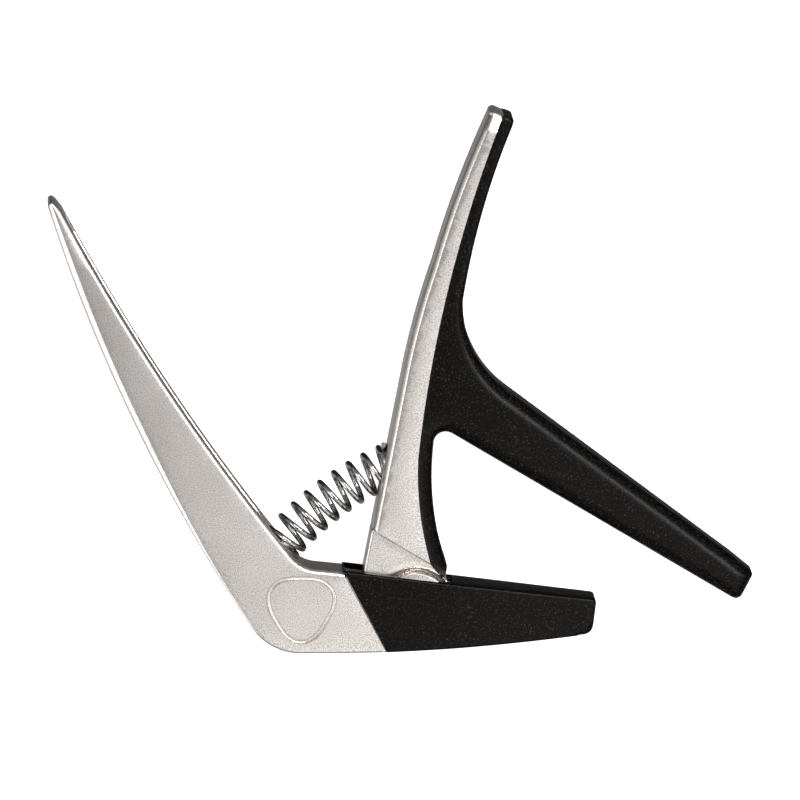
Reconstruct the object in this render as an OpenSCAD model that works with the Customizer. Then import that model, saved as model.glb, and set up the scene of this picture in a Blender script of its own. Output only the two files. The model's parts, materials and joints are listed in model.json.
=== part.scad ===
// Spring-loaded guitar capo, lying on its side.
// Outlines are drawn about the pivot, +X towards the jaws' tips, +Y towards the lever's tip,
// and place() moves them so that the origin is at the bottom centre of the whole capo.

/* [Body] */
// Depth of the die-cast handle and lever
body_depth = 14; // [12:0.5:18]
// How far the rubber sleeves stand proud of the castings, on each side
sleeve_proud = 0.2; // [0:0.1:0.6]
// Depth of the jaw's metal core
jaw_core_depth = 13.4; // [13:0.1:13.6]
// Depth of the string bar's metal core
bar_core_depth = 10.8; // [9:0.2:12]
// Depth left at the tips of the jaw and string bar, as a share of the full depth
tip_share = 0.8; // [0.7:0.05:1]

/* [Pivot] */
// Diameter of the pivot pin
pin_dia = 4; // [3:0.5:5]
// Radial running clearance between pin and bush
pin_gap = 0.03; // [0.01:0.01:0.1]
// Outside diameter of the bush
bush_dia = 5.6; // [5:0.2:7]
// Depth of the lever's tongue
tongue_depth = 10.4; // [10:0.1:10.8]
// Radius of the round ears that stand up from the jaw's core on both sides of the lever
ear_r = 5.8; // [5.6:0.05:5.8]
// Radius of the lever's round boss
boss_r = 4.75; // [4.6:0.05:4.8]
// Depth of the lever's round boss
boss_depth = 11; // [10.9:0.1:11.2]
// Depth left between the round recesses in the boss's two ends
hub_depth = 9.4; // [9:0.1:9.8]
// Radius of those recesses
recess_r = 4.1; // [3.9:0.05:4.2]
// Play left on each side of the two thrust washers
washer_play = 0.05; // [0.02:0.01:0.1]
// Outside diameter of the thrust washers
washer_dia = 7.6; // [7:0.1:7.6]
// Width of the slot between the fork's cheeks
slot_w = 11.4; // [11.3:0.1:11.6]

/* [Spring] */
// Outside diameter of the return spring
spring_dia = 7.9; // [7:0.1:8]
// Diameter of the spring's wire
wire_dia = 1; // [0.8:0.1:1.2]
// Number of turns, end turns included
spring_turns = 10; // [8:0.5:12]
// How far the spring bows away from the pivot
spring_bow = 1.5; // [0:0.1:3]
// Diameter of the pockets that hold the spring's ends
pocket_dia = 8.2; // [8:0.1:9]
// Diameter of the pegs inside the spring's ends
peg_dia = 4.4; // [3:0.1:5]
// Height of the pegs
peg_h = 2.2; // [1:0.2:4]

/* [Handle] */
// Half width of the channel in the handle's inner face
channel_half = 4.2; // [3:0.1:5]
// Radius of the plectrum outline engraved in the handle
mark_r = 5.6; // [4:0.1:6.5]
// Width of the engraved line
mark_line = 0.7; // [0.4:0.1:1]
// Depth of the engraved line
mark_depth = 0.4; // [0.2:0.1:0.6]

/* [Hidden] */

$fn = 48;
eps = 0.01;
far = 200;
half = body_depth / 2;
sleeve_half = half + sleeve_proud;

// The pivot's place in the capo's own frame
pivot = [1.98, -37.83, sleeve_half];

// Ends of the spring's centre line, and the directions in which it leaves its two pockets
spring_a = [-23.3, 8.1];
spring_b = [-2.95, 23.15];
pocket_a_dir = 50;
pocket_b_dir = 23;
pocket_len = 12;

// Straight underside of the string bar, from near its tip to its root
pad_tip = [57.35, -1.2];
pad_root = [3.75, 30.7];

// Centre of the hinge pin, with its bush, washers and boss
hinge = [0.75, -1.5];

// Top of the jaw: a straight line that falls towards the tip
jaw_fall = 0.1222;
jaw_left = -12.1;
jaw_top_y = 4.75;
core_inset = 1.0;
stop_gap = 0.05;
heel_left = 5.6;

// The neck pad is raised a little from here to the tip
pad_from = 7.4;
pad_rise = 0.15;

// Thickness of each thrust washer: it fills the side of the slot beyond the boss
washer_t = (slot_w - hub_depth) / 2 - 2 * washer_play;

// ---- Outline helpers ----

function unit(v) = v / norm(v);
function left_of(v) = [-v.y, v.x];

// Points of an arc from a to b, without b, that rises to the left of the line from a to b
function bow(a, b, rise, n = 12) =
    let (c = norm(b - a), h = abs(rise), r = (c * c / 4 + h * h) / (2 * h), u = unit(b - a),
         v = left_of(u) * sign(rise), half_a = asin(c / 2 / r), m = (a + b) / 2)
    [for (i = [0 : n - 1]) let (t = half_a * (2 * i / n - 1))
        m + u * r * sin(t) + v * (r * cos(t) - r + h)];

// Points of a round corner of radius r at b, between the lines to a and to c
function corner(a, b, c, r, n = 8) =
    let (u = unit(a - b), w = unit(c - b), th = acos(u * w), m = b + unit(u + w) * r / sin(th / 2),
         p = b + u * r / tan(th / 2) - m, q = b + w * r / tan(th / 2) - m,
         a0 = atan2(p.y, p.x), turn = (atan2(q.y, q.x) - a0 + 900) % 360 - 180)
    [for (i = [0 : n]) m + r * [cos(a0 + turn * i / n), sin(a0 + turn * i / n)]];

function jaw_top(x, inset = 0) = jaw_top_y - inset - jaw_fall * (x - jaw_left);

// Rounded triangle, point down
function plectrum(r) = [for (a = [0 : 7.5 : 352.5])
    r * (1 + 0.1 * cos(3 * (a + 90))) * [cos(a), sin(a)]];

// ---- Outlines about the pivot ----

handle_outline = concat(
    [[-4.4, -9.7], [-12, -9.85]],
    bow([-19.6, -9.85], [-28.15, -5.3], 1.2, 12),
    bow([-28.15, -5.3], [-63.7, 68.8], 2.9, 20),
    bow([-63.7, 68.8], [-61.2, 68.1], 1.2, 8),
    bow([-61.2, 68.1], [-21.1, 7.3], -1.75, 20),
    bow([-21.1, 7.3], [-16.9, 5], -0.47, 8),
    [[-16.9, 5], [-12.1, 4.5]]);

channel_outline = concat(
    bow([-60.1, 64.9], [-33.2, 16.8], 1.6, 16),
    [[-33.2, 16.8], [-30.5, 14.6], [-22, 20], [-52, 66], [-58.9, 66.6]]);

jaw_tip = [32.4, jaw_top(32.4) + pad_rise];

jaw_outline = concat(
    [[jaw_left, jaw_top_y], [pad_from, jaw_top(pad_from)], [pad_from, jaw_top(pad_from) + pad_rise]],
    corner([pad_from, jaw_top(pad_from) + pad_rise], jaw_tip, [31.6, -6.7], 0.8),
    corner(jaw_tip, [31.6, -6.8], [0, -9.5], 1.8),
    bow([29.3, -7.0], [-4.4, -9.7], 0.35, 10),
    [[-4.4, -9.7]]);

jaw_core_outline = [
    [-14, jaw_top(-14, core_inset + 0.3)], [jaw_left, jaw_top(jaw_left, core_inset)],
    [30.8, jaw_top(30.8, core_inset)], [30.3, -5.4], [-3, -8.4], [-10, -8.6]];

lever_outline = concat(
    [[-7, 12.1]],
    bow([-1.64, 39.3], [3.61, 58.5], 0.35, 10),
    bow([3.61, 58.5], [12.1, 81.9], 0.42, 12),
    [[12.1, 81.9]],
    corner([12.1, 81.9], [13.8, 85.85], [16, 84.8], 1),
    bow([16, 84.8], [1.15, 24.6], -2.05, 20),
    bow([1.15, 24.6], [3.4, 5.6], -0.8, 10),
    [[3.4, 5.6], [-5.6, 10.9]]);

// The narrower tongue, which enters the fork, with its heel resting on the core at the right
tongue_outline = [
    [-7, 12.1], [-8.45, 4.6], [-8.3, 3.2], [-6.8, 1.2], [-3, -4],
    [4, 0.6], [heel_left, jaw_top(heel_left, core_inset) + stop_gap],
    [6.2, jaw_top(6.2, core_inset) + stop_gap], [6.2, jaw_top(6.2) + stop_gap], [3.4, 5.6],
    [0, 14]];

bar_core_outline = [
    [1.9, 33.9], [54.9, 2.35], [56.4, 3.9], [54.2, 6.1], [15.9, 34.6], [9.4, 42],
    [7.6, 47], [3.9, 48.5]];

bar_sleeve_outline = concat(
    [[16, 84.8]],
    corner([16, 84.8], [17.9, 84.2], [17.5, 82.8], 0.6),
    bow([17.5, 82.8], [8.9, 52.3], -0.95, 12),
    bow([8.9, 52.3], [17, 36], -2.3, 14),
    [[17, 36]],
    corner([17, 36], [56, 7], [60, 3.75], 8),
    corner([56, 7], [60, 3.75], [57.4, -0.9], 0.9),
    corner([60, 3.75], pad_tip, pad_root, 1.3),
    corner(pad_tip, pad_root, [3.75, 27], 2.1),
    bow([3.75, 26.9], [6.15, 5.4], -1.2, 12),
    [[6.15, 5.4], [5.9, 4.1], [5.25, 3.35], [3.4, 5.6]],
    reverse(bow([1.15, 24.6], [3.4, 5.6], -0.8, 10)),
    reverse(bow([16, 84.8], [1.15, 24.6], -2.05, 20)));

function reverse(v) = [for (i = [len(v) - 1 : -1 : 0]) v[i]];

// Where the tongue swings: through the rubber, and a shorter slot in the metal that stops the heel
slot_left = -11.8;
slot_floor = -6.8;
slot_rise = 20;
core_slot_right = 5.7;
sleeve_slot_right = 7.2;

// ---- Spring wire: a helix wound round an arc from spring_a to spring_b ----

wire_sides = 8;
rings_per_turn = 20;
ring_count = floor(spring_turns * rings_per_turn);
chord = norm(spring_b - spring_a);
arc_r = (chord * chord / 4 + spring_bow * spring_bow) / (2 * spring_bow);
arc_half = asin(chord / 2 / arc_r);
arc_len = arc_r * arc_half * PI / 90;
coil_r = (spring_dia - wire_dia) / 2;
open_pitch = (arc_len - 3 * wire_dia) / (spring_turns - 2);

// Distance along the arc after u turns: the first and last turn lie closed
function wound(u) = u < 1 ? wire_dia * (0.5 + u)
    : u > spring_turns - 1 ? arc_len - wire_dia * (0.5 + spring_turns - u)
    : 1.5 * wire_dia + (u - 1) * open_pitch;

// Point, tangent and outward normal of the arc at a distance along it
function arc_at(s) = let (t = arc_half * (2 * s / arc_len - 1), u = unit(spring_b - spring_a),
    v = left_of(u), m = (spring_a + spring_b) / 2,
    n = u * sin(t) + v * cos(t))
    [m + n * arc_r + v * (spring_bow - arc_r), [n.y, -n.x], n];

// Ring of points round the wire at turn u
function wire_ring(u) = let (at = arc_at(wound(u)), out = [at[2].x, at[2].y, 0] * cos(360 * u)
        + [0, 0, sin(360 * u)], along = [at[1].x, at[1].y, 0])
    [for (k = [0 : wire_sides - 1]) let (a = 360 * k / wire_sides)
        [at[0].x, at[0].y, 0] + out * (coil_r + wire_dia / 2 * cos(a)) + along * wire_dia / 2 * sin(a)];

wire_points = [for (i = [0 : ring_count]) each wire_ring(i / rings_per_turn)];

function wire_index(i, k) = i * wire_sides + k % wire_sides;

wire_faces = concat(
    [[for (k = [0 : wire_sides - 1]) k]],
    [for (i = [0 : ring_count - 1]) for (k = [0 : wire_sides - 1])
        [wire_index(i, k), wire_index(i + 1, k), wire_index(i + 1, k + 1), wire_index(i, k + 1)]],
    [[for (k = [wire_sides - 1 : -1 : 0]) wire_index(ring_count, k)]]);

// ---- Shared shapes ----

module place() translate(pivot) children();

module at_hinge() translate(hinge) children();

module slab(outline, depth) linear_extrude(depth, center = true) polygon(outline);

// Limits the depth along a direction: h0 each side up to s0, then a straight taper to h1 at s1
module depth_limit(dir, s0, s1, h0, h1)
    rotate([0, 0, dir]) rotate([90, 0, 0]) linear_extrude(2 * far, center = true)
        polygon([[-far, -h0], [s0, -h0], [s1, -h1], [far, -h1],
                 [far, h1], [s1, h1], [s0, h0], [-far, h0]]);

module tapered(outline, depth, dir, s0, s1, share) intersection() {
    slab(outline, depth);
    depth_limit(dir, s0, s1, depth / 2, depth / 2 * share);
}

module jaw_core() {
    tapered(jaw_core_outline, jaw_core_depth, 0, 8, 32.4, tip_share);
    at_hinge() cylinder(r = ear_r, h = jaw_core_depth, center = true);
}

module bar_core() tapered(bar_core_outline, bar_core_depth, -34, -4, 47.5, tip_share);

module slot(right) translate([slot_left, slot_floor, -slot_w / 2])
    cube([right - slot_left, slot_rise, slot_w]);

module pin_hole(d, depth) cylinder(d = d, h = depth, center = true);

// A round pocket that starts at a point and opens in a direction, with a peg left in its middle
module pocket(at, dir) translate(at) rotate([0, 0, dir]) rotate([0, 90, 0]) difference() {
    cylinder(d = pocket_dia, h = pocket_len);
    translate([0, 0, -1]) cylinder(d = peg_dia, h = peg_h + 1);
}

// ---- Sub-parts ----

module handle_frame() color([0.80, 0.78, 0.76]) place() difference() {
    union() {
        tapered(handle_outline, body_depth, 90, 58, 70, 0.78);
        jaw_core();
    }
    slab(channel_outline, 2 * channel_half);
    pocket(spring_a, pocket_a_dir);
    slot(core_slot_right);
    at_hinge() pin_hole(pin_dia, far);
    translate([-19.4, -1.6, half - mark_depth]) linear_extrude(1) difference() {
        polygon(plectrum(mark_r));
        polygon(plectrum(mark_r - mark_line));
    }
}

module jaw_sleeve() color([0.09, 0.08, 0.08]) place() difference() {
    tapered(jaw_outline, 2 * sleeve_half, 0, 8, 32.4, tip_share);
    jaw_core();
    slot(sleeve_slot_right);
}

module lever_arm() color([0.82, 0.80, 0.78]) place() difference() {
    union() {
        tapered(lever_outline, body_depth, 90, 82.3, 86.3, 0.7);
        bar_core();
        slab(tongue_outline, tongue_depth);
        at_hinge() cylinder(r = boss_r, h = boss_depth, center = true);
    }
    for (side = [0, 1]) at_hinge() mirror([0, 0, side]) translate([0, 0, hub_depth / 2])
        cylinder(r = recess_r, h = far);
    pocket(spring_b, pocket_b_dir + 180);
    at_hinge() pin_hole(bush_dia, far);
}

module string_bar_sleeve() color([0.10, 0.09, 0.09]) place() difference() {
    tapered(bar_sleeve_outline, 2 * sleeve_half, -34, -4, 47.5, tip_share);
    bar_core();
}

module pivot_pin() color([0.62, 0.62, 0.63]) place() at_hinge() pin_hole(pin_dia, jaw_core_depth);

module pivot_bush() color([0.72, 0.58, 0.32]) place() at_hinge() difference() {
    pin_hole(bush_dia, hub_depth);
    pin_hole(pin_dia + 2 * pin_gap, far);
}

module thrust_washer(side) color([0.92, 0.91, 0.88]) place() at_hinge()
    translate([0, 0, side * (slot_w / 2 - washer_t / 2 - washer_play)]) difference() {
        pin_hole(washer_dia, washer_t);
        pin_hole(pin_dia + 0.2, far);
    }

module front_thrust_washer() thrust_washer(1);

module rear_thrust_washer() thrust_washer(-1);

module return_spring() color([0.75, 0.75, 0.76]) place()
    polyhedron(points = wire_points, faces = wire_faces, convexity = 20);

handle_frame();
jaw_sleeve();
lever_arm();
string_bar_sleeve();
pivot_pin();
pivot_bush();
front_thrust_washer();
rear_thrust_washer();
return_spring();
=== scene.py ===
"""Looks of a spring-loaded guitar capo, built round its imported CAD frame.

Outlines are in millimetres about the reference point that the CAD design uses, +X towards the
jaws' tips, +Y towards the lever's tip and +Z towards the camera. to_frame() gives metres.
"""
import json
import math

import bmesh
import bpy
import numpy as np
from mathutils import Matrix, Vector
from mathutils.geometry import delaunay_2d_cdt


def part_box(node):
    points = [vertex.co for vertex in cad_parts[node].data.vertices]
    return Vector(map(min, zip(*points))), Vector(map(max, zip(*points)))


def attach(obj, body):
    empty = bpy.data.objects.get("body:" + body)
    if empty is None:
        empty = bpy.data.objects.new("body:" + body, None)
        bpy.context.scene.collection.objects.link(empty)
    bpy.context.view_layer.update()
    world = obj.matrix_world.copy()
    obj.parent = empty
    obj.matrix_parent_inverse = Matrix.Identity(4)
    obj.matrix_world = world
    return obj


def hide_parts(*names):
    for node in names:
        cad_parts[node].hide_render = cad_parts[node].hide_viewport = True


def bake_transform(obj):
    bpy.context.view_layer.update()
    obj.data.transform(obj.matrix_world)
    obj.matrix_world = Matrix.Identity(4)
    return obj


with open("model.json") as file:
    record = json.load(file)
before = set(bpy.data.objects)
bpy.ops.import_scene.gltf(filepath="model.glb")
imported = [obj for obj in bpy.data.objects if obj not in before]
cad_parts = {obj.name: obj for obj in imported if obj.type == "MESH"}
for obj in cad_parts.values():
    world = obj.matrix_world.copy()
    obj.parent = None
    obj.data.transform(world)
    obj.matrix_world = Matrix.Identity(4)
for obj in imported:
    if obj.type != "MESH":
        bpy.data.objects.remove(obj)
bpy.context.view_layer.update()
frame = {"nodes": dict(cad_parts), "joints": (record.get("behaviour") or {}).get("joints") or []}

# ---- Driving values, in millimetres ----

MM = 0.001
HINGE = np.array([0.75, -1.5])
SLEEVE_HALF = (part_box("jaw_sleeve")[1].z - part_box("jaw_sleeve")[0].z) / MM / 2
CASTING_HALF = (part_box("handle_frame")[1].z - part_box("handle_frame")[0].z) / MM / 2
PIN_AXIS = Vector(frame["joints"][0]["pos_m"]) / MM
ORIGIN = PIN_AXIS - Vector((*HINGE, 0))

TONGUE_HALF = 5.2
BOSS_HALF = 5.5
HUB_HALF = 4.7
JAW_CORE_HALF = 6.7
BAR_CORE_HALF = 5.4
SLOT_HALF = 5.7
CHANNEL_HALF = 4.2

EAR_R = 5.8
RELIEF_R = 7.6
RELIEF_DEPTH = 1.3

SEAM_X = -12.1
JAW_ROOT_Y = 4.75
JAW_SLOPE = 0.1222
JAW_TIP_X = 32.4
SLOT_LEFT, SLOT_FLOOR, SLOT_TOP = -11.8, -6.8, 13.0
CORE_SLOT_RIGHT = 5.7
SLEEVE_SLOT_RIGHT = 7.2

HANDLE_TIP_OUTER = (-63.7, 68.8)
HANDLE_TIP_INNER = (-61.2, 68.1)
HANDLE_HEEL = (-28.15, -5.3)
HANDLE_THROAT = (-21.1, 7.3)
LEVER_TIP_LEFT = (12.1, 81.9)
LEVER_TIP_RIGHT = (16, 84.8)
SEAM_TOP = (3.4, 5.6)

PIN_R = 2.0
BUSH_R = 2.8
WASHER_RECESS_R = 4.1
THROUGH = 20.0

SPRING_A = np.array([-23.3, 8.1])
SPRING_B = np.array([-2.95, 23.15])
SPRING_TURNS = 10
SPRING_RISE = 1.5
WIRE_R = 0.5
COIL_R = 3.45
POCKET_A_DIR = 50.0
POCKET_B_DIR = 203.0
POCKET_R = 4.1
POCKET_DEPTH = 12.0
PEG_R = 2.2
PEG_HEIGHT = 2.2

PLECTRUM_CENTRE = (-19.4, -1.6)
PLECTRUM_R = 5.6
GROOVE_HALF = 0.42
GROOVE_DEPTH = 0.42

# Tapers of the half depth, as (direction in degrees, start and end along it, share at the end)
HANDLE_TAPER = (90, 58, 70, 0.78)
JAW_TAPER = (0, 8, JAW_TIP_X, 0.8)
LEVER_TAPER = (70, 81.8, 85.8, 0.83)
BAR_TAPER = (-34, -4, 47.5, 0.8)

# Edges, as (inset, drop): how far in and how far down the rounding reaches
HANDLE_BOTTOM = (0.4, 0.4)
HANDLE_INNER = (0.9, 0.8)
HANDLE_TIP = (0.6, 1.4)
LEVER_LEFT = (1.0, 2.2)
LEVER_TIP = (0.5, 0.5)
BESIDE_RUBBER = (0.15, 0.2)
SEAM_EDGE = (0.3, 0.3)
TONGUE_EDGE = (0.35, 0.35)
JAW_EDGE = (0.5, 0.5)
JAW_END = (1.3, 1.3)
RUBBER_BORDER = (0.18, 0.18)
BAR_UNDER = (2.7, 1.7)
SHARP = (0.12, 0.12)

# ---- Outline helpers ----


def unit(v):
    return v / np.linalg.norm(v)


def left_of(v):
    return np.array([-v[1], v[0]])


def bow(a, b, rise, n=12):
    """Points of an arc from a to b, without b, that rises to the left of the line from a to b."""
    a, b = np.array(a, float), np.array(b, float)
    chord, h = np.linalg.norm(b - a), abs(rise)
    r = (chord * chord / 4 + h * h) / (2 * h)
    along, across = unit(b - a), left_of(unit(b - a)) * np.sign(rise)
    half = math.asin(chord / 2 / r)
    turns = [half * (2 * i / n - 1) for i in range(n)]
    return [(a + b) / 2 + along * r * math.sin(t) + across * (r * math.cos(t) - r + h)
            for t in turns]


def corner(a, b, c, r, n=8):
    """Points of a round corner of radius r at b, between the lines to a and to c."""
    a, b, c = (np.array(p, float) for p in (a, b, c))
    to_a, to_c = unit(a - b), unit(c - b)
    angle = math.acos(float(to_a @ to_c))
    middle = b + unit(to_a + to_c) * r / math.sin(angle / 2)
    p = b + to_a * r / math.tan(angle / 2) - middle
    q = b + to_c * r / math.tan(angle / 2) - middle
    start = math.atan2(p[1], p[0])
    turn = (math.atan2(q[1], q[0]) - start + 5 * math.pi) % (2 * math.pi) - math.pi
    angles = [start + turn * i / n for i in range(n + 1)]
    return [middle + r * np.array([math.cos(t), math.sin(t)]) for t in angles]


def arc(centre, r, start, end, n=24):
    """Points of an arc round a centre, from one angle to another in degrees."""
    turns = np.radians(np.linspace(start, end, n))
    return [np.array(centre) + r * np.array([math.cos(t), math.sin(t)]) for t in turns]


def jaw_top(x, inset=0.0):
    """Height of the lower jaw's sloping top at x."""
    return JAW_ROOT_Y - inset - JAW_SLOPE * (x - SEAM_X)


def plectrum(centre, r):
    """Rounded triangle, point down."""
    step, swell = 3, 0.1
    turns = np.radians(np.arange(0, 360, step))
    radii = r * (1 + swell * np.cos(3 * (turns + math.pi / 2)))
    return [np.array(centre) + q * np.array([math.cos(t), math.sin(t)])
            for q, t in zip(radii, turns)]


# ---- Outlines: strokes of (edge, points), each of which ends where the next one starts ----


def handle_outer_edge(point):
    """The handle's back edge is crisp at the corner and grows rounder towards the tip."""
    crisp, growth, grow_from, grow_over = 0.4, 0.9, 2, 26
    narrow_from, narrowing = 60, 0.05
    inset = crisp + growth * min(1, max(0, (point[1] - grow_from) / grow_over))
    if point[1] < narrow_from:
        return (inset, inset)
    return (inset - narrowing * (point[1] - narrow_from), inset)


def handle_inner_edge():
    """The long bowed edge that faces the lever, from the tip down to the throat."""
    return bow(HANDLE_TIP_INNER, HANDLE_THROAT, -1.75, 60)


def handle_outline():
    return [
        (HANDLE_BOTTOM, [(-4.4, -9.7), (-12, -9.85)] + bow((-19.6, -9.85), HANDLE_HEEL, 1.2, 20)),
        (handle_outer_edge, bow(HANDLE_HEEL, HANDLE_TIP_OUTER, 2.9, 60)),
        (HANDLE_TIP, [HANDLE_TIP_OUTER, (-63.68, 69.3), (-63.52, 69.65), (-63.25, 69.85),
                      (-62.9, 69.85), (-62.5, 69.6), (-62.1, 69.2), (-61.6, 68.6)]),
        (HANDLE_INNER, handle_inner_edge() + bow(HANDLE_THROAT, (-16.9, 5), -0.47, 14)
         + [(-16.9, 5)]),
        (BESIDE_RUBBER, [(SEAM_X, 4.5)]),
    ]


def jaw_outline():
    """The rubber's top steps up a little in front of the lever's tongue."""
    step_x, step_up, ramp_length = 7.4, 0.15, 0.5
    foot_x = step_x - ramp_length
    shoulder = (step_x, jaw_top(step_x) + step_up)
    tip = (JAW_TIP_X, jaw_top(JAW_TIP_X) + step_up)
    return [
        (JAW_EDGE, [(SEAM_X, JAW_ROOT_Y), (foot_x, jaw_top(foot_x))]
         + corner(shoulder, tip, (31.6, -6.7), 0.8)),
        (JAW_END, corner(tip, (31.6, -6.8), (0, -9.5), 1.8)),
        (JAW_EDGE, bow((29.3, -7.0), (-4.4, -9.7), 0.35, 30)),
        (RUBBER_BORDER, [(-4.4, -9.7)]),
    ]


def jaw_core_outline():
    return [(SHARP, [(-14, jaw_top(-14, 1.3)), (SEAM_X, jaw_top(SEAM_X, 1)),
                     (30.8, jaw_top(30.8, 1)), (30.3, -5.4), (-3, -8.4), (-10, -8.6)])]


def lever_right_edge():
    """Border between the lever's casting and its rubber, from the tip down to the seam."""
    return bow(LEVER_TIP_RIGHT, (1.15, 24.6), -2.05, 50) + bow((1.15, 24.6), SEAM_TOP, -0.8, 20)


def lever_outline():
    return [
        (LEVER_LEFT, [(-7, 12.1)] + bow((-1.64, 39.3), (3.61, 58.5), 0.35, 16)
         + bow((3.61, 58.5), LEVER_TIP_LEFT, 0.42, 16) + [LEVER_TIP_LEFT]),
        (LEVER_TIP, corner(LEVER_TIP_LEFT, (13.8, 85.85), LEVER_TIP_RIGHT, 1.0)),
        (BESIDE_RUBBER, lever_right_edge()),
        (SEAM_EDGE, [SEAM_TOP, (-5.6, 10.9)]),
    ]


def tongue_outline():
    toe_x, heel_x, clearance, boss_r = 6.2, 5.6, 0.05, 4.75
    return [
        (TONGUE_EDGE, [(-8.3, 3.2), (-8.45, 4.6), (-7.1, 11.6)]),
        (SHARP, [(-6, 13), (0, 14), SEAM_TOP, (toe_x, jaw_top(toe_x) + clearance),
                 (toe_x, jaw_top(toe_x, 1) + clearance), (heel_x, jaw_top(heel_x, 1) + clearance)]
         + arc(HINGE, boss_r, 20, -152) + [(-6.8, 1.2)]),
    ]


def bar_core_outline():
    return [(SHARP, [(1.9, 33.9), (54.9, 2.35), (56.4, 3.9), (54.2, 6.1), (15.9, 34.6),
                     (9.4, 42), (7.6, 47), (3.9, 48.5)])]


def bar_top_edge(point):
    """The bar's outer edge is crisp beside the lever and wide along the free arm."""
    crisp, wider, lower, widen_from, widen_over = 0.7, 1.9, 1.4, 58, 22
    share = min(1, max(0, (widen_from - point[1]) / widen_over))
    return (crisp + wider * share, crisp + lower * share)


def bar_outline():
    """The rubber, clockwise from the lever's tip: free arm, its end, underside, throat and seam."""
    pad_tip, pad_root = (57.35, -1.2), (3.75, 30.7)
    waist, elbow, strip_end = (8.9, 52.3), (17, 36), (6.15, 5.4)
    arm_bend, arm_end = (56, 7), (60, 3.75)
    border = [np.array(SEAM_TOP)] + lever_right_edge()[::-1]
    return [
        (bar_top_edge, corner(LEVER_TIP_RIGHT, (17.9, 84.2), (17.5, 82.8), 0.6)
         + bow((17.5, 82.8), waist, -0.95, 30) + bow(waist, elbow, -2.3, 30) + [elbow]
         + corner(elbow, arm_bend, arm_end, 8)),
        (bar_top_edge, corner(arm_bend, arm_end, (57.4, -0.9), 0.9)),
        (bar_top_edge, corner(arm_end, pad_tip, pad_root, 1.3)),
        (BAR_UNDER, corner(pad_tip, pad_root, (3.75, 27), 2.1, 12)
         + bow((3.75, 26.9), strip_end, -1.2, 24)),
        (SHARP, [strip_end, (5.9, 4.1), (5.25, 3.35)]),
        (RUBBER_BORDER, border),
    ]


# ---- Plate builder ----

CHUNK = 3000
SAME_POINT = 1e-4
POINT_GAP = 0.09
RIM_GAP = 0.02
CROWN_REACH = 2.2
LINE_ROWS = (-1, -0.66, -0.33, 0, 0.33, 0.66, 1)


class Sides:
    """The straight sides of an outline, each with its edge's inset and drop."""

    def __init__(self, strokes):
        flat = [(np.array(p, float), edge) for edge, points in strokes for p in points]
        pairs = [(p, q, edge((p + q) / 2) if callable(edge) else edge)
                 for (p, edge), (q, _) in zip(flat, flat[1:] + flat[:1])
                 if np.linalg.norm(q - p) > SAME_POINT]
        self.a = np.array([p for p, _, _ in pairs])
        self.b = np.array([q for _, q, _ in pairs])
        self.edge = np.array([edge for _, _, edge in pairs])

    def resample(self, step):
        """Points along the outline, at most a step apart, and the edge of each."""
        points, edges = [], []
        for a, b, edge in zip(self.a, self.b, self.edge):
            n = max(1, math.ceil(np.linalg.norm(b - a) / step))
            points += [a + (b - a) * i / n for i in range(n)]
            edges += [edge] * n
        return np.array(points), np.array(edges)

    def measure(self, points):
        """Distance to the outline, and how far the rounded edges lower the face, at each point."""
        along = self.b - self.a
        length2 = (along ** 2).sum(1)
        near, fall = [], []
        for part in chunks(points):
            t = np.clip(((part[:, None] - self.a) * along).sum(2) / length2, 0, 1)
            d = np.linalg.norm(part[:, None] - self.a - t[..., None] * along, axis=2)
            reach = np.clip(1 - d / self.edge[:, 0], 0, 1)
            near.append(d.min(1))
            fall.append((self.edge[:, 1] * (1 - np.sqrt(1 - reach ** 2))).max(1))
        return np.concatenate(near), np.concatenate(fall)


def chunks(points):
    """The points in parts that are small enough for one table of distances each."""
    return np.array_split(points, max(1, len(points) // CHUNK))


def inside(points, rim):
    """True for the points inside the closed outline."""
    a, b = rim, np.roll(rim, -1, axis=0)
    found = []
    for part in chunks(points):
        x, y = part[:, :1], part[:, 1:]
        spans = (a[:, 1] > y) != (b[:, 1] > y)
        rise = np.where(a[:, 1] == b[:, 1], 1, b[:, 1] - a[:, 1])
        crossing = a[:, 0] + (y - a[:, 1]) * (b[:, 0] - a[:, 0]) / rise
        found.append((spans & (x < crossing)).sum(1) % 2 == 1)
    return np.concatenate(found)


def spread(points, gap):
    """The points in order, without those closer than a gap to an earlier one."""
    kept, cells = [], {}
    for p in points:
        cell = (int(p[0] // gap), int(p[1] // gap))
        close = [q for i in (-1, 0, 1) for j in (-1, 0, 1)
                 for q in cells.get((cell[0] + i, cell[1] + j), ())]
        if all((q[0] - p[0]) ** 2 + (q[1] - p[1]) ** 2 > gap * gap for q in close):
            cells.setdefault(cell, []).append(p)
            kept.append(p)
    return np.array(kept)


def left_normals(points):
    """Unit normals of a closed line, to the left of its way."""
    tangent = np.roll(points, -1, axis=0) - np.roll(points, 1, axis=0)
    return np.stack([-tangent[:, 1], tangent[:, 0]], 1) / np.linalg.norm(tangent, axis=1)[:, None]


def inward_normals(rim):
    """Unit normals of a closed outline, towards its inside."""
    before = np.roll(rim, 1, axis=0)
    turn = (before[:, 0] * rim[:, 1] - rim[:, 0] * before[:, 1]).sum()
    return left_normals(rim) * math.copysign(1, turn)


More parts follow.
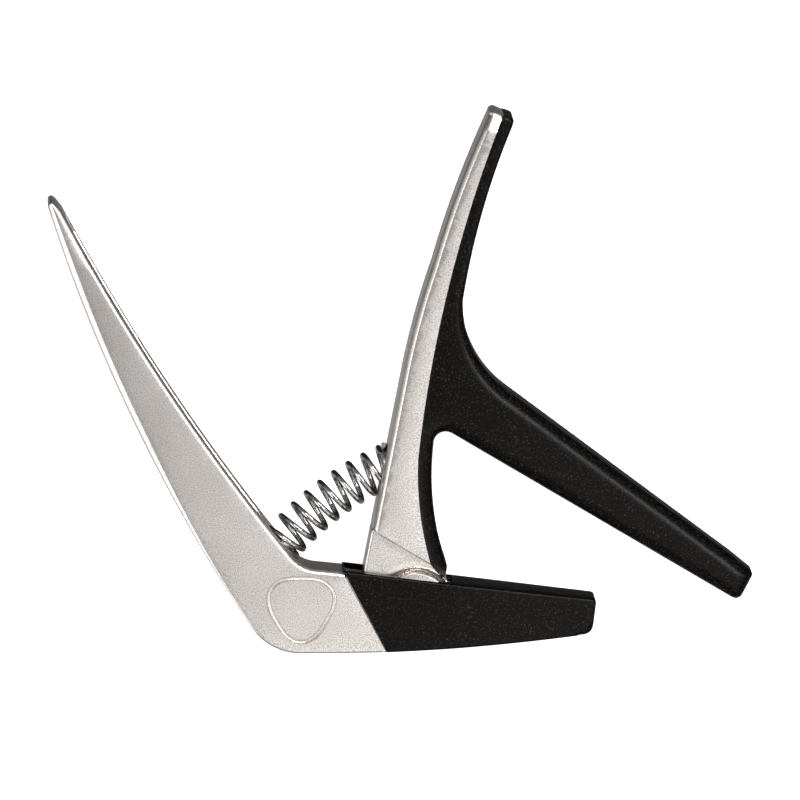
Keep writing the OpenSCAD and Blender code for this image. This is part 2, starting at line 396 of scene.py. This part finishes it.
def face_points(sides, rim, rim_edge, lines, grid, rings=6):
    """Points inside the outline: rings along its rounded edges, rows along the lines, a grid."""
    inward = inward_normals(rim)
    candidates = []
    for k in range(1, rings + 1):
        offset = rim_edge[:, :1] * (1 - math.cos(k / rings * math.pi / 2))
        ring = rim + inward * offset
        distance, _ = sides.measure(ring)
        candidates.append(ring[inside(ring, rim) & (distance > 0.92 * offset[:, 0])])
    for line, half_width in lines:
        normals = left_normals(line)
        rows = np.concatenate([line + normals * half_width * share for share in LINE_ROWS])
        candidates.append(rows[inside(rows, rim)])
    low, high = rim.min(0), rim.max(0)
    xs, ys = np.arange(low[0], high[0], grid), np.arange(low[1], high[1], grid * 0.866)
    mesh = np.array([(x + (j % 2) * grid / 2, y) for j, y in enumerate(ys) for x in xs])
    mesh = mesh[inside(mesh, rim)]
    distance, fall = sides.measure(mesh)
    candidates.append(mesh[(fall == 0) & (distance > grid * 0.5)])
    return candidates


def plate(name, strokes, half_depth, step=0.45, grid=1.3, crown=0.1,
          lines=(), carve=None, wall=None):
    """A closed body with the outline's shape, rounded edges and a slight crown on both faces.

    half_depth(points) is the half depth, carve(points) is cut from the front face alone, and
    wall(points) gives the depth of a channel along the wall. Each of the lines is a closed line
    and its half width, and gets extra rows of points."""
    sides = Sides(strokes)
    rim, rim_edge = sides.resample(step)
    fill = spread(np.concatenate(face_points(sides, rim, rim_edge, lines, grid)), POINT_GAP)
    fill = fill[sides.measure(fill)[0] > RIM_GAP]
    points = np.concatenate([rim, fill])
    count = len(rim)
    loop = [(i, (i + 1) % count) for i in range(count)]
    out = delaunay_2d_cdt([Vector(p) for p in points], loop, [], 1, 1e-7)
    source = [ids[0] for ids in out[3]]
    triangles = [[source[i] for i in face] for face in out[2]]

    distance, fall = sides.measure(points)
    height = half_depth(points) - fall - crown * np.exp(-distance / CROWN_REACH)
    front = height - (carve(points) if carve else 0)
    levels, shares = wall_profile(wall is not None)
    channel = wall(rim) if wall is not None else np.zeros(count)
    inward = inward_normals(rim)

    vertices = [(x, y, z) for (x, y), z in zip(points, front)]
    vertices += [(x, y, -z) for (x, y), z in zip(points, height)]
    first_ring = len(vertices)
    for level, share in zip(levels, shares):
        ring = rim + inward * (channel * share)[:, None]
        z = height[:count] * level if wall is None else np.full(count, level)
        vertices += [(x, y, h) for (x, y), h in zip(ring, z)]

    n = len(points)
    faces = triangles + [[n + i for i in reversed(face)] for face in triangles]
    starts = [0] + [first_ring + k * count for k in range(len(levels))] + [n]
    for top, bottom in zip(starts, starts[1:]):
        faces += [(top + i, bottom + i, bottom + j, top + j) for i, j in loop]
    return build(name, vertices, faces)


def wall_profile(channelled):
    """Heights of the wall's rings, and the share of the channel's depth at each."""
    if not channelled:
        return (0.4, -0.4), (0, 0)
    lip, floor, lip_share, middle_share, floor_share = 0.5, 0.9, 0.12, 0.45, 0.75
    rounding = (0.5, 1.0, math.pi / 2)
    upper = [(CHANNEL_HALF + lip, 0.0)]
    upper += [(CHANNEL_HALF + lip * (1 - math.sin(t)), lip_share * (1 - math.cos(t)))
              for t in rounding]
    upper += [(CHANNEL_HALF - 0.03, middle_share), (CHANNEL_HALF - 0.06, floor_share)]
    upper += [(CHANNEL_HALF - floor * (1 - math.cos(t)),
               floor_share + (1 - floor_share) * math.sin(t)) for t in rounding]
    levels = upper + [(-z, share) for z, share in reversed(upper)]
    return [z for z, _ in levels], [share for _, share in levels]


def to_frame(v):
    """A point in millimetres about the reference point, as metres in the capo's frame."""
    return (Vector(v) + ORIGIN) * MM


def build(name, vertices, faces):
    """An object with this mesh, in the capo's frame, with its faces turned outwards."""
    mesh = bpy.data.meshes.new(name)
    mesh.from_pydata([to_frame(v) for v in vertices], [], faces)
    same_point, no_length = 1e-7, 1e-8
    shape = bmesh.new()
    shape.from_mesh(mesh)
    bmesh.ops.remove_doubles(shape, verts=shape.verts, dist=same_point)
    bmesh.ops.dissolve_degenerate(shape, edges=shape.edges, dist=no_length)
    bmesh.ops.recalc_face_normals(shape, faces=shape.faces)
    shape.to_mesh(mesh)
    shape.free()
    piece = bpy.data.objects.new(name, mesh)
    bpy.context.scene.collection.objects.link(piece)
    return piece


def combine(piece, other, how):
    """Adds or cuts another object, which is used up."""
    change = piece.modifiers.new("combine", "BOOLEAN")
    change.operation = how
    change.solver = "EXACT"
    change.object = other
    bpy.context.view_layer.update()
    evaluated = piece.evaluated_get(bpy.context.evaluated_depsgraph_get())
    result = bpy.data.meshes.new_from_object(evaluated)
    piece.modifiers.clear()
    piece.data = result
    bpy.data.objects.remove(other)


def cylinder(radius, start, end, sides=72):
    """A cylinder between two points, in millimetres about the reference point."""
    start, end = Vector(start), Vector(end)
    axis = (end - start).normalized()
    turn = axis.to_track_quat("Z", "Y")
    vertices = []
    for at in (start, end):
        vertices += [at + turn @ Vector((radius * math.cos(t), radius * math.sin(t), 0))
                     for t in np.linspace(0, 2 * math.pi, sides, endpoint=False)]
    faces = [list(range(sides)), list(range(sides, 2 * sides))]
    faces += [(i, (i + 1) % sides, sides + (i + 1) % sides, sides + i) for i in range(sides)]
    return build("cutter", vertices, faces)


def through_hinge(radius):
    """A cylinder along the hinge's axis that reaches past both faces."""
    return cylinder(radius, (*HINGE, -THROUGH), (*HINGE, THROUGH))


def cut_pocket(piece, at, direction):
    """A round pocket for the spring's end, with a peg in its middle."""
    way = Vector((math.cos(math.radians(direction)), math.sin(math.radians(direction)), 0))
    at = Vector((*at, 0))
    combine(piece, cylinder(POCKET_R, at, at + way * POCKET_DEPTH), "DIFFERENCE")
    combine(piece, cylinder(PEG_R, at - way, at + way * PEG_HEIGHT), "UNION")


def smooth(piece, angle=34):
    piece.data.shade_smooth()
    piece.data.set_sharp_from_angle(angle=math.radians(angle))


def taper(points, half, direction, start, end, share):
    """Half depth that falls along a direction, from half at start to a share of it at end."""
    way = np.array([math.cos(math.radians(direction)), math.sin(math.radians(direction))])
    t = np.clip((points @ way - start) / (end - start), 0, 1)
    return half * (1 - (1 - share) * t)


# ---- Materials ----


def new_material(name):
    """An empty node material with its shader, and object coordinates in millimetres."""
    material = bpy.data.materials.new(name)
    material.use_nodes = True
    nodes, links = material.node_tree.nodes, material.node_tree.links
    shader = nodes["Principled BSDF"]
    coordinates = nodes.new("ShaderNodeTexCoord")
    scale = nodes.new("ShaderNodeMapping")
    scale.inputs["Scale"].default_value = (1 / MM, 1 / MM, 1 / MM)
    links.new(coordinates.outputs["Object"], scale.inputs["Vector"])
    return material, nodes, links, shader, scale.outputs["Vector"]


def noise_value(nodes, links, vector, scale, detail=2.0, roughness=0.5):
    """Noise with a scale in cycles per millimetre."""
    node = nodes.new("ShaderNodeTexNoise")
    node.inputs["Scale"].default_value = scale
    node.inputs["Detail"].default_value = detail
    node.inputs["Roughness"].default_value = roughness
    links.new(vector, node.inputs["Vector"])
    return node.outputs["Fac"]


def ramp(nodes, links, value, stops):
    """Colours for a value, as (position, colour) stops."""
    node = nodes.new("ShaderNodeValToRGB")
    elements = node.color_ramp.elements
    while len(elements) < len(stops):
        elements.new(0.5)
    for element, (position, colour) in zip(elements, stops):
        element.position = position
        element.color = (*colour, 1)
    links.new(value, node.inputs["Fac"])
    return node.outputs["Color"]


def map_range(nodes, links, value, low, high, to_low, to_high):
    node = nodes.new("ShaderNodeMapRange")
    sockets = ("From Min", "From Max", "To Min", "To Max")
    for socket, number in zip(sockets, (low, high, to_low, to_high)):
        node.inputs[socket].default_value = number
    links.new(value, node.inputs["Value"])
    return node.outputs["Result"]


def mix_colour(nodes, links, share, a, b, blend="MIX"):
    node = nodes.new("ShaderNodeMix")
    node.data_type = "RGBA"
    node.blend_type = blend
    for key, value in (("Factor", share), ("A", a), ("B", b)):
        socket = node.inputs[key]
        if isinstance(value, bpy.types.NodeSocket):
            links.new(value, socket)
        else:
            socket.default_value = value
    return node.outputs["Result"]


def bump(nodes, links, height, strength, distance, normal=None):
    node = nodes.new("ShaderNodeBump")
    node.inputs["Strength"].default_value = strength
    node.inputs["Distance"].default_value = distance
    links.new(height, node.inputs["Height"])
    if normal is not None:
        links.new(normal, node.inputs["Normal"])
    return node.outputs["Normal"]


def pearl_silver():
    """Satin pearl lacquer on a die casting: a fine sparkle, and a slight unevenness below it."""
    material, nodes, links, shader, mm = new_material("pearl_silver_casting")
    shader.inputs["Metallic"].default_value = 0.92
    shader.inputs["Coat Weight"].default_value = 0.15
    shader.inputs["Coat Roughness"].default_value = 0.3
    flakes = noise_value(nodes, links, mm, 5.5, 2.0, 0.6)
    cloud = noise_value(nodes, links, mm, 0.12, 2.0)
    flake_colour = ramp(nodes, links, flakes, [
        (0.36, (0.52, 0.46, 0.425)), (0.50, (0.80, 0.755, 0.72)), (0.64, (1.0, 0.98, 0.96))])
    cloud_colour = ramp(nodes, links, cloud, [(0.3, (0.93, 0.915, 0.90)), (0.7, (1.0, 1.0, 1.0))])
    links.new(mix_colour(nodes, links, 1.0, flake_colour, cloud_colour, "MULTIPLY"),
              shader.inputs["Base Color"])
    links.new(map_range(nodes, links, flakes, 0.3, 0.75, 0.33, 0.26), shader.inputs["Roughness"])
    fine = bump(nodes, links, flakes, 0.12, 0.00002)
    links.new(bump(nodes, links, cloud, 0.06, 0.0001, fine), shader.inputs["Normal"])
    return material


def black_rubber():
    """Matte moulded rubber with a fine speckled grain."""
    material, nodes, links, shader, mm = new_material("black_rubber")
    shader.inputs["Specular IOR Level"].default_value = 0.12
    grain = noise_value(nodes, links, mm, 3.4, 2.0, 0.6)
    cloud = noise_value(nodes, links, mm, 0.35, 3.0)
    grain_colour = ramp(nodes, links, grain, [
        (0.48, (0.0014, 0.0009, 0.0006)), (0.60, (0.0035, 0.0025, 0.002)),
        (0.68, (0.036, 0.032, 0.029))])
    links.new(grain_colour, shader.inputs["Base Color"])
    links.new(map_range(nodes, links, cloud, 0.3, 0.7, 0.28, 0.33), shader.inputs["Roughness"])
    fine = bump(nodes, links, grain, 0.8, 0.00003)
    links.new(bump(nodes, links, cloud, 0.15, 0.0002, fine), shader.inputs["Normal"])
    return material


def polished_wire():
    """Bright spring steel, with faint drawing marks."""
    material, nodes, links, shader, mm = new_material("bright_spring")
    shader.inputs["Metallic"].default_value = 1.0
    marks = noise_value(nodes, links, mm, 3.0, 4.0, 0.6)
    links.new(ramp(nodes, links, marks, [(0.3, (0.34, 0.33, 0.32)), (0.7, (0.56, 0.55, 0.54))]),
              shader.inputs["Base Color"])
    links.new(map_range(nodes, links, marks, 0.3, 0.7, 0.06, 0.14), shader.inputs["Roughness"])
    links.new(bump(nodes, links, marks, 0.15, 0.00003), shader.inputs["Normal"])
    return material


def turned_metal(name, dark, light, rough):
    """Turned or ground metal, with fine rings along the pin's axis and a few stains."""
    material, nodes, links, shader, mm = new_material(name)
    shader.inputs["Metallic"].default_value = 1.0
    stretch = nodes.new("ShaderNodeMapping")
    stretch.inputs["Scale"].default_value = (0.6, 0.6, 14.0)
    links.new(mm, stretch.inputs["Vector"])
    rings = noise_value(nodes, links, stretch.outputs["Vector"], 1.0, 3.0)
    stains = noise_value(nodes, links, mm, 0.8, 3.0)
    colour = ramp(nodes, links, rings, [(0.3, dark), (0.7, light)])
    worn = ramp(nodes, links, stains, [(0.35, (0.82, 0.80, 0.78)), (0.6, (1, 1, 1))])
    links.new(mix_colour(nodes, links, 1.0, colour, worn, "MULTIPLY"), shader.inputs["Base Color"])
    links.new(map_range(nodes, links, rings, 0.3, 0.7, rough, rough + 0.15),
              shader.inputs["Roughness"])
    links.new(bump(nodes, links, rings, 0.3, 0.00003), shader.inputs["Normal"])
    return material


def natural_nylon():
    """Off-white nylon that lets a little light in."""
    material, nodes, links, shader, mm = new_material("washer_nylon")
    shader.inputs["Subsurface Weight"].default_value = 0.3
    shader.inputs["Subsurface Scale"].default_value = 0.0005
    cloud = noise_value(nodes, links, mm, 1.5, 3.0)
    links.new(ramp(nodes, links, cloud, [(0.3, (0.72, 0.70, 0.62)), (0.7, (0.82, 0.81, 0.75))]),
              shader.inputs["Base Color"])
    links.new(map_range(nodes, links, cloud, 0.3, 0.7, 0.38, 0.5), shader.inputs["Roughness"])
    links.new(bump(nodes, links, cloud, 0.2, 0.00003), shader.inputs["Normal"])
    return material


def paint(piece, material):
    """Gives a new piece its one material, in a single material slot."""
    piece.data.materials.clear()
    piece.data.materials.append(material)
    piece.data.polygons.foreach_set("material_index", [0] * len(piece.data.polygons))


# ---- Sub-parts ----


def groove(points):
    """Depth of the engraved plectrum outline at each point."""
    line = Sides([(SHARP, plectrum(PLECTRUM_CENTRE, PLECTRUM_R))])
    distance, _ = line.measure(points)
    return GROOVE_DEPTH * np.clip(1 - (distance / GROOVE_HALF) ** 2, 0, 1) ** 0.7


def channel_depth(rim):
    """Depth of the channel in the handle's inner wall, at each point of the outline."""
    top, bottom, shallow, deeper, growth = 66.0, 15.5, 1.5, 4.2, 1.2
    top_end, top_fade, bottom_end, bottom_fade = 66.6, 2.5, 14.0, 1.6
    wall = Sides([(HANDLE_INNER, handle_inner_edge())])
    wall.a, wall.b, wall.edge = wall.a[:-1], wall.b[:-1], wall.edge[:-1]
    on_wall = wall.measure(rim)[0] < RIM_GAP
    t = np.clip((top - rim[:, 1]) / (top - bottom), 0, 1)
    depth = shallow + deeper * t ** growth
    fade = np.clip((top_end - rim[:, 1]) / top_fade, 0, 1)
    fade *= np.clip((rim[:, 1] - bottom_end) / bottom_fade, 0, 1)
    return np.where(on_wall, depth * np.sqrt(fade * (2 - fade)), 0.0)


def make_handle(material):
    line = (np.array(plectrum(PLECTRUM_CENTRE, PLECTRUM_R)), GROOVE_HALF * 1.1)
    handle = plate("handle_casting", handle_outline(),
                   lambda p: taper(p, CASTING_HALF, *HANDLE_TAPER),
                   lines=[line], carve=groove, wall=channel_depth)
    cut_pocket(handle, SPRING_A, POCKET_A_DIR)
    combine(handle, slot_cutter(CORE_SLOT_RIGHT), "DIFFERENCE")
    paint(handle, material)
    smooth(handle)
    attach(handle, "frame")
    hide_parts("handle_frame")


def slot_cutter(right):
    """The fork's slot for the tongue, as a block."""
    corners = [(SLOT_LEFT, SLOT_FLOOR), (right, SLOT_FLOOR),
               (right, SLOT_TOP), (SLOT_LEFT, SLOT_TOP)]
    vertices = [(x, y, z) for z in (-SLOT_HALF, SLOT_HALF) for x, y in corners]
    faces = [(0, 1, 2, 3), (4, 5, 6, 7)]
    faces += [(i, (i + 1) % 4, 4 + (i + 1) % 4, 4 + i) for i in range(4)]
    return build("cutter", vertices, faces)


def core_half_depth(points):
    return taper(points, JAW_CORE_HALF, *JAW_TAPER)


def bar_core_half_depth(points):
    return taper(points, BAR_CORE_HALF, *BAR_TAPER)


def ears():
    """The two round ears of the jaw's core, as one disc that the slot divides."""
    return plate("ears", [((0.3, 0.3), arc(HINGE, EAR_R, 0, 360, 97)[:-1])],
                 lambda p: np.full(len(p), JAW_CORE_HALF), step=0.4, grid=1.2, crown=0)


def make_jaw(silver, rubber):
    core = plate("jaw_core", jaw_core_outline(), core_half_depth, step=1.5, grid=4, crown=0)
    combine(core, ears(), "UNION")
    combine(core, slot_cutter(CORE_SLOT_RIGHT), "DIFFERENCE")
    combine(core, through_hinge(PIN_R), "DIFFERENCE")
    paint(core, silver)
    smooth(core)
    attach(core, "frame")

    sleeve = plate("jaw_rubber", jaw_outline(), lambda p: taper(p, SLEEVE_HALF, *JAW_TAPER),
                   crown=0.08)
    cavity = plate("cutter", jaw_core_outline(), core_half_depth, step=3, grid=6, crown=0)
    combine(cavity, ears(), "UNION")
    combine(sleeve, cavity, "DIFFERENCE")
    combine(sleeve, slot_cutter(SLEEVE_SLOT_RIGHT), "DIFFERENCE")
    paint(sleeve, rubber)
    smooth(sleeve)
    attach(sleeve, "frame")
    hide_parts("jaw_sleeve")


def tongue_depth(points):
    """Half depth of the tongue: a hollow relief round the ears, and the boss in its middle."""
    past_ear, boss_gap, roundness = 0.1, 0.3, 0.96
    d = np.linalg.norm(points - HINGE, axis=1)
    into = np.clip((RELIEF_R - d) / (RELIEF_R - EAR_R + past_ear), 0, 1)
    relief = RELIEF_DEPTH * (1 - np.sqrt(1 - into ** 2 * roundness))
    return np.where(d < EAR_R - boss_gap, BOSS_HALF, TONGUE_HALF - relief)


def make_lever(silver):
    lever = plate("lever_casting", lever_outline(), lambda p: taper(p, CASTING_HALF, *LEVER_TAPER))
    combine(lever, plate("tongue", tongue_outline(), tongue_depth, grid=0.3, crown=0.0), "UNION")
    core = plate("core", bar_core_outline(), bar_core_half_depth, step=2, grid=6, crown=0)
    combine(lever, core, "UNION")
    cut_pocket(lever, SPRING_B, POCKET_B_DIR)
    combine(lever, through_hinge(BUSH_R), "DIFFERENCE")
    for side in (-1, 1):
        recess = cylinder(WASHER_RECESS_R, (*HINGE, side * HUB_HALF), (*HINGE, side * THROUGH))
        combine(lever, recess, "DIFFERENCE")
    paint(lever, silver)
    smooth(lever)
    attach(lever, "lever")
    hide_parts("lever_arm")


def make_bar(rubber):
    bar = plate("string_bar_rubber", bar_outline(), lambda p: taper(p, SLEEVE_HALF, *BAR_TAPER))
    core = plate("cutter", bar_core_outline(), bar_core_half_depth, step=3, grid=6, crown=0)
    combine(bar, core, "DIFFERENCE")
    paint(bar, rubber)
    smooth(bar)
    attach(bar, "lever")
    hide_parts("string_bar_sleeve")


def make_spring(material):
    """The return spring: a helix round an arc, with its first and last turns closed."""
    sides, rings, end_share = 14, 40, 0.8
    closed_pitch = 2 * WIRE_R
    chord = np.linalg.norm(SPRING_B - SPRING_A)
    radius = (chord * chord / 4 + SPRING_RISE * SPRING_RISE) / (2 * SPRING_RISE)
    half = math.asin(chord / 2 / radius)
    length = 2 * radius * half
    pitch = (length - 3 * closed_pitch) / (SPRING_TURNS - 2)
    along, across = unit(SPRING_B - SPRING_A), left_of(unit(SPRING_B - SPRING_A))
    middle = (SPRING_A + SPRING_B) / 2

    def wound(u):
        """Way along the arc after u turns."""
        if u < 1:
            return closed_pitch * (0.5 + u)
        if u > SPRING_TURNS - 1:
            return length - closed_pitch * (0.5 + SPRING_TURNS - u)
        return 1.5 * closed_pitch + (u - 1) * pitch

    count = SPRING_TURNS * rings + 1
    vertices, faces = [], []
    for i in range(count):
        u = i / rings
        t = half * (2 * wound(u) / length - 1)
        normal = along * math.sin(t) + across * math.cos(t)
        way = np.array([normal[1], -normal[0], 0])
        at = np.append(middle + normal * radius + across * (SPRING_RISE - radius), 0)
        turn = 2 * math.pi * u
        out = np.append(normal * math.cos(turn), math.sin(turn))
        r = WIRE_R * (end_share if i in (0, count - 1) else 1)
        for k in range(sides):
            a = 2 * math.pi * k / sides
            vertices.append(at + out * (COIL_R + r * math.cos(a)) + way * r * math.sin(a))
    for i in range(count - 1):
        for k in range(sides):
            j = (k + 1) % sides
            here, after = i * sides, (i + 1) * sides
            faces.append((here + k, after + k, after + j, here + j))
    faces += [list(range(sides)), list(range((count - 1) * sides, count * sides))]
    spring = build("return_spring_wire", vertices, faces)
    paint(spring, material)
    smooth(spring, 50)
    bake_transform(spring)
    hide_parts("return_spring")


def finish_small_parts():
    """The hinge's own pieces keep their CAD shapes."""
    looks = {
        "pivot_pin": turned_metal("pin_steel", (0.40, 0.40, 0.41), (0.60, 0.60, 0.61), 0.22),
        "pivot_bush": turned_metal("bush_brass", (0.48, 0.34, 0.13), (0.68, 0.51, 0.23), 0.28),
    }
    nylon = natural_nylon()
    looks["front_thrust_washer"] = looks["rear_thrust_washer"] = nylon
    for node, material in looks.items():
        mesh = frame["nodes"][node].data
        mesh.materials.clear()
        mesh.materials.append(material)


# ---- Stage ----

VIEW_WAY = Vector((-0.0262, 0.115, 1)).normalized()
VIEW_DISTANCE = 3.8
VIEW_WIDTH = 0.140
VIEW_AIM = Vector((-0.18, -2.96, 14.2)) * MM
SENSOR = 36.0
FLOOR_HALF = 6.0
FLOOR_Z = -0.0003

# Softboxes, as place and size in metres, and strength
SOFTBOXES = {
    "top": ((0.154, -0.162, 0.36), (0.42, 0.40), 1.06),
    "upper": ((0.274, 0.39, 0.763), (0.75, 0.20), 14.0),
    "left": ((-0.593, -0.105, 0.669), (0.7, 0.22), 3.5),
    "low left": ((-0.70, -0.33, 0.27), (0.4, 0.5), 2.5),
}
# Grey of the room from straight below to straight above, as (share of the way, tone)
SKY_TONES = ((0.0, 0.02), (0.52, 0.03), (0.60, 0.30), (0.80, 0.30), (1.0, 0.14))
# Ramps over a direction's part, as (from, to, value at from, value at to)
TABLE_BY_Y = (-0.12, 0.1, 0.42, 0.03)
TABLE_BY_Z = (-0.5, -0.2, 1, 0)
WALL_WAY = (-0.98, -0.2, 0.0)
WALL_BY_WAY = (0.75, 0.95, 0.0, 0.8)


def make_camera():
    """A far camera in front of the capo and a little above it."""
    data = bpy.data.cameras.new("camera")
    data.sensor_width = SENSOR
    data.lens = SENSOR * VIEW_DISTANCE / VIEW_WIDTH
    camera = bpy.data.objects.new("camera", data)
    bpy.context.scene.collection.objects.link(camera)
    back = VIEW_WAY
    right = Vector((0, 1, 0)).cross(back).normalized()
    up = back.cross(right)
    place = Matrix((right, up, back)).transposed().to_4x4()
    place.translation = VIEW_AIM + back * VIEW_DISTANCE
    camera.matrix_world = place
    bpy.context.scene.camera = camera


def make_floor():
    """A plain white floor that the metal doesn't mirror."""
    half = FLOOR_HALF
    mesh = bpy.data.meshes.new("floor")
    corners = [(-half, -half), (half, -half), (half, half), (-half, half)]
    mesh.from_pydata([(x, y, FLOOR_Z) for x, y in corners], [], [(0, 1, 2, 3)])
    floor = bpy.data.objects.new("floor", mesh)
    bpy.context.scene.collection.objects.link(floor)
    material = bpy.data.materials.new("floor")
    material.use_nodes = True
    shader = material.node_tree.nodes["Principled BSDF"]
    shader.inputs["Base Color"].default_value = (0.88, 0.88, 0.88, 1)
    shader.inputs["Roughness"].default_value = 0.9
    shader.inputs["Specular IOR Level"].default_value = 0.0
    shader.inputs["Emission Color"].default_value = (1, 1, 1, 1)
    shader.inputs["Emission Strength"].default_value = 0.9
    mesh.materials.append(material)
    floor.visible_glossy = False


def area_light(name, place, size, strength, target=(0, 0, 0)):
    """A rectangular softbox of a given radiance, aimed at a point."""
    data = bpy.data.lights.new(name, "AREA")
    data.shape = "RECTANGLE"
    data.size, data.size_y = size
    data.energy = strength * math.pi * size[0] * size[1]
    light = bpy.data.objects.new(name, data)
    light.location = place
    light.rotation_euler = (Vector(place) - Vector(target)).to_track_quat("Z", "Y").to_euler()
    light.visible_camera = False
    bpy.context.scene.collection.objects.link(light)


def make_lights():
    for name, (place, size, strength) in SOFTBOXES.items():
        area_light(name, place, size, strength)


def make_room():
    """What the metal mirrors: a grey room, a table in front of it and a pale wall on the left."""
    world = bpy.data.worlds.new("studio")
    world.use_nodes = True
    nodes, links = world.node_tree.nodes, world.node_tree.links
    coordinates = nodes.new("ShaderNodeTexCoord")
    split = nodes.new("ShaderNodeSeparateXYZ")
    links.new(coordinates.outputs["Generated"], split.inputs["Vector"])
    height = map_range(nodes, links, split.outputs["Z"], -1, 1, 0, 1)
    sky = ramp(nodes, links, height, [(share, (tone, tone, tone)) for share, tone in SKY_TONES])
    table = map_range(nodes, links, split.outputs["Y"], *TABLE_BY_Y)
    below = map_range(nodes, links, split.outputs["Z"], *TABLE_BY_Z)
    side = nodes.new("ShaderNodeVectorMath")
    side.operation = "DOT_PRODUCT"
    side.inputs[1].default_value = WALL_WAY
    links.new(coordinates.outputs["Generated"], side.inputs[0])
    wall = map_range(nodes, links, side.outputs["Value"], *WALL_BY_WAY)
    room = mix_colour(nodes, links, below, sky, table)
    links.new(mix_colour(nodes, links, 1.0, room, wall, "ADD"),
              nodes["Background"].inputs["Color"])
    bpy.context.scene.world = world
    bpy.context.scene.view_settings.view_transform = "Standard"


make_camera()
make_floor()
make_lights()
make_room()
silver_lacquer = pearl_silver()
matte_rubber = black_rubber()
make_handle(silver_lacquer)
make_jaw(silver_lacquer, matte_rubber)
make_lever(silver_lacquer)
make_bar(matte_rubber)
make_spring(polished_wire())
finish_small_parts()
